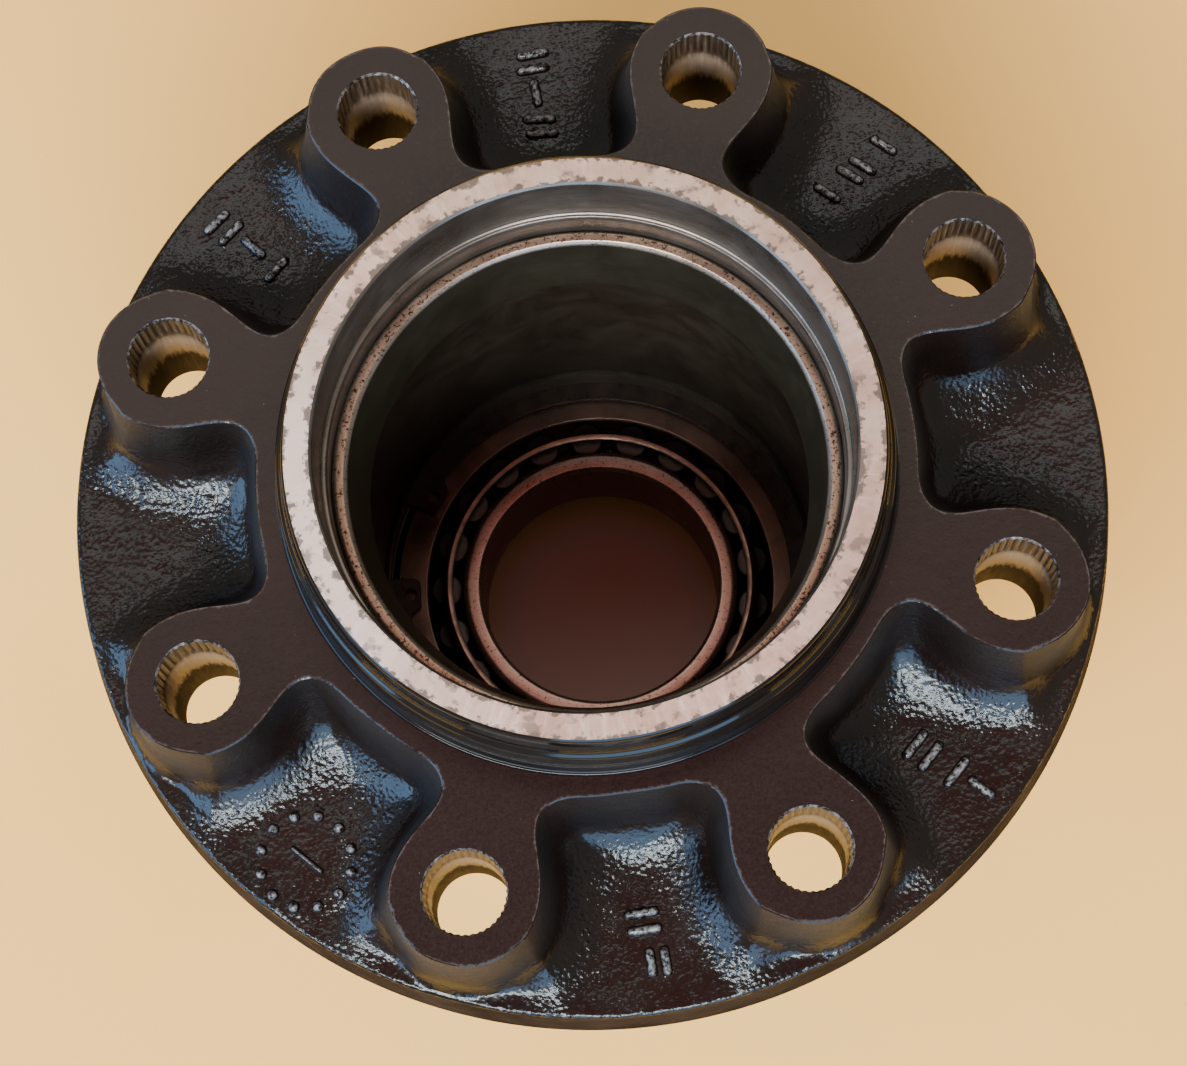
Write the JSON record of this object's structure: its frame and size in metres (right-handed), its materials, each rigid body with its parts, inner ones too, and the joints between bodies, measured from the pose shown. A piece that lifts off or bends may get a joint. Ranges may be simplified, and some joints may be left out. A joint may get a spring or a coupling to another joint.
{
  "type": "wheel hub with tapered roller bearing",
  "caption": "Full-floating wheel hub: star-armed stud flange on a bored barrel, with a complete tapered roller bearing trapped inside and the other bearing's cup at the seal end.",
  "frame": {"origin": "centre of the outboard end face, on the spindle axis, which is the bottom of the box", "axes": "+Z along the spindle axis towards the inboard end; the stud holes are at 22.5 degrees plus multiples of 45 degrees from +X"},
  "size_m": [0.204, 0.204, 0.1624],
  "materials": {
    "painted_cast_iron": "gloss black paint over cast iron, satin on the faced bosses, bare machined steel on the seal end",
    "ground_bearing_steel": "ground bearing steel with light oil and rust specks",
    "roller_steel": "oiled ground steel",
    "stamped_cage_steel": "stamped sheet steel, darkened by oil",
    "spring_steel": "blackened spring steel"
  },
  "bodies": {
    "hub": {"hub": "painted_cast_iron", "inner_bearing_cup": "ground_bearing_steel", "outer_bearing_cup": "ground_bearing_steel", "snap_ring": "spring_steel"},
    "cone": {"bearing_cone": "ground_bearing_steel"},
    "cage": {"bearing_cage": "stamped_cage_steel"},
    "roller_01": {"roller_01": "roller_steel"},
    "roller_02": {"roller_02": "roller_steel"},
    "roller_03": {"roller_03": "roller_steel"},
    "roller_04": {"roller_04": "roller_steel"},
    "roller_05": {"roller_05": "roller_steel"},
    "roller_06": {"roller_06": "roller_steel"},
    "roller_07": {"roller_07": "roller_steel"},
    "roller_08": {"roller_08": "roller_steel"},
    "roller_09": {"roller_09": "roller_steel"},
    "roller_10": {"roller_10": "roller_steel"},
    "roller_11": {"roller_11": "roller_steel"},
    "roller_12": {"roller_12": "roller_steel"},
    "roller_13": {"roller_13": "roller_steel"},
    "roller_14": {"roller_14": "roller_steel"},
    "roller_15": {"roller_15": "roller_steel"},
    "roller_16": {"roller_16": "roller_steel"},
    "roller_17": {"roller_17": "roller_steel"},
    "roller_18": {"roller_18": "roller_steel"},
    "roller_19": {"roller_19": "roller_steel"},
    "roller_20": {"roller_20": "roller_steel"},
    "roller_21": {"roller_21": "roller_steel"}
  },
  "joints": [
    {"name": "cone_spin", "type": "hinge", "parent": "hub", "child": "cone", "pos_m": [0, 0, 0.0343], "axis": [0, 0, 1], "continuous": true},
    {"name": "cage_spin", "type": "hinge", "parent": "hub", "child": "cage", "pos_m": [0, 0, 0.0372], "axis": [0, 0, 1], "continuous": true},
    {"name": "roller_01_spin", "type": "hinge", "parent": "cage", "child": "roller_01", "pos_m": [0.03609, 0.0017, 0.03608], "axis": [-0.2442, -0.0115, 0.9697], "continuous": true},
    {"name": "roller_02_spin", "type": "hinge", "parent": "cage", "child": "roller_02", "pos_m": [0.03399, 0.01226, 0.03608], "axis": [-0.2299, -0.083, 0.9697], "continuous": true},
    {"name": "roller_03_spin", "type": "hinge", "parent": "cage", "child": "roller_03", "pos_m": [0.02886, 0.02174, 0.03608], "axis": [-0.1953, -0.1471, 0.9697], "continuous": true},
    {"name": "roller_04_spin", "type": "hinge", "parent": "cage", "child": "roller_04", "pos_m": [0.02117, 0.02928, 0.03608], "axis": [-0.1432, -0.1981, 0.9697], "continuous": true},
    {"name": "roller_05_spin", "type": "hinge", "parent": "cage", "child": "roller_05", "pos_m": [0.0116, 0.03422, 0.03608], "axis": [-0.0785, -0.2315, 0.9697], "continuous": true},
    {"name": "roller_06_spin", "type": "hinge", "parent": "cage", "child": "roller_06", "pos_m": [0.001, 0.03612, 0.03608], "axis": [-0.0068, -0.2444, 0.9697], "continuous": true},
    {"name": "roller_07_spin", "type": "hinge", "parent": "cage", "child": "roller_07", "pos_m": [-0.00969, 0.03481, 0.03608], "axis": [0.0656, -0.2355, 0.9697], "continuous": true},
    {"name": "roller_08_spin", "type": "hinge", "parent": "cage", "child": "roller_08", "pos_m": [-0.01952, 0.03041, 0.03608], "axis": [0.1321, -0.2057, 0.9697], "continuous": true},
    {"name": "roller_09_spin", "type": "hinge", "parent": "cage", "child": "roller_09", "pos_m": [-0.02761, 0.0233, 0.03608], "axis": [0.1868, -0.1576, 0.9697], "continuous": true},
    {"name": "roller_10_spin", "type": "hinge", "parent": "cage", "child": "roller_10", "pos_m": [-0.03326, 0.01413, 0.03608], "axis": [0.225, -0.0956, 0.9697], "continuous": true},
    {"name": "roller_11_spin", "type": "hinge", "parent": "cage", "child": "roller_11", "pos_m": [-0.03594, 0.0037, 0.03608], "axis": [0.2432, -0.025, 0.9697], "continuous": true},
    {"name": "roller_12_spin", "type": "hinge", "parent": "cage", "child": "roller_12", "pos_m": [-0.03543, -0.00706, 0.03608], "axis": [0.2397, 0.0478, 0.9697], "continuous": true},
    {"name": "roller_13_spin", "type": "hinge", "parent": "cage", "child": "roller_13", "pos_m": [-0.03178, -0.01719, 0.03608], "axis": [0.215, 0.1163, 0.9697], "continuous": true},
    {"name": "roller_14_spin", "type": "hinge", "parent": "cage", "child": "roller_14", "pos_m": [-0.0253, -0.0258, 0.03608], "axis": [0.1712, 0.1745, 0.9697], "continuous": true},
    {"name": "roller_15_spin", "type": "hinge", "parent": "cage", "child": "roller_15", "pos_m": [-0.01657, -0.03211, 0.03608], "axis": [0.1121, 0.2172, 0.9697], "continuous": true},
    {"name": "roller_16_spin", "type": "hinge", "parent": "cage", "child": "roller_16", "pos_m": [-0.00637, -0.03556, 0.03608], "axis": [0.0431, 0.2406, 0.9697], "continuous": true},
    {"name": "roller_17_spin", "type": "hinge", "parent": "cage", "child": "roller_17", "pos_m": [0.00439, -0.03586, 0.03608], "axis": [-0.0297, 0.2426, 0.9697], "continuous": true},
    {"name": "roller_18_spin", "type": "hinge", "parent": "cage", "child": "roller_18", "pos_m": [0.01477, -0.03297, 0.03608], "axis": [-0.0999, 0.2231, 0.9697], "continuous": true},
    {"name": "roller_19_spin", "type": "hinge", "parent": "cage", "child": "roller_19", "pos_m": [0.02383, -0.02716, 0.03608], "axis": [-0.1613, 0.1837, 0.9697], "continuous": true},
    {"name": "roller_20_spin", "type": "hinge", "parent": "cage", "child": "roller_20", "pos_m": [0.03078, -0.01893, 0.03608], "axis": [-0.2082, 0.128, 0.9697], "continuous": true},
    {"name": "roller_21_spin", "type": "hinge", "parent": "cage", "child": "roller_21", "pos_m": [0.03499, -0.00901, 0.03608], "axis": [-0.2367, 0.061, 0.9697], "continuous": true}
  ],
  "couplings": [
    {"joint": "cage_spin", "follows": "cone_spin", "ratio": 0.44287},
    {"joint": "roller_01_spin", "follows": "cone_spin", "ratio": -4.1879},
    {"joint": "roller_02_spin", "follows": "cone_spin", "ratio": -4.1879},
    {"joint": "roller_03_spin", "follows": "cone_spin", "ratio": -4.1879},
    {"joint": "roller_04_spin", "follows": "cone_spin", "ratio": -4.1879},
    {"joint": "roller_05_spin", "follows": "cone_spin", "ratio": -4.1879},
    {"joint": "roller_06_spin", "follows": "cone_spin", "ratio": -4.1879},
    {"joint": "roller_07_spin", "follows": "cone_spin", "ratio": -4.1879},
    {"joint": "roller_08_spin", "follows": "cone_spin", "ratio": -4.1879},
    {"joint": "roller_09_spin", "follows": "cone_spin", "ratio": -4.1879},
    {"joint": "roller_10_spin", "follows": "cone_spin", "ratio": -4.1879},
    {"joint": "roller_11_spin", "follows": "cone_spin", "ratio": -4.1879},
    {"joint": "roller_12_spin", "follows": "cone_spin", "ratio": -4.1879},
    {"joint": "roller_13_spin", "follows": "cone_spin", "ratio": -4.1879},
    {"joint": "roller_14_spin", "follows": "cone_spin", "ratio": -4.1879},
    {"joint": "roller_15_spin", "follows": "cone_spin", "ratio": -4.1879},
    {"joint": "roller_16_spin", "follows": "cone_spin", "ratio": -4.1879},
    {"joint": "roller_17_spin", "follows": "cone_spin", "ratio": -4.1879},
    {"joint": "roller_18_spin", "follows": "cone_spin", "ratio": -4.1879},
    {"joint": "roller_19_spin", "follows": "cone_spin", "ratio": -4.1879},
    {"joint": "roller_20_spin", "follows": "cone_spin", "ratio": -4.1879},
    {"joint": "roller_21_spin", "follows": "cone_spin", "ratio": -4.1879}
  ]
}
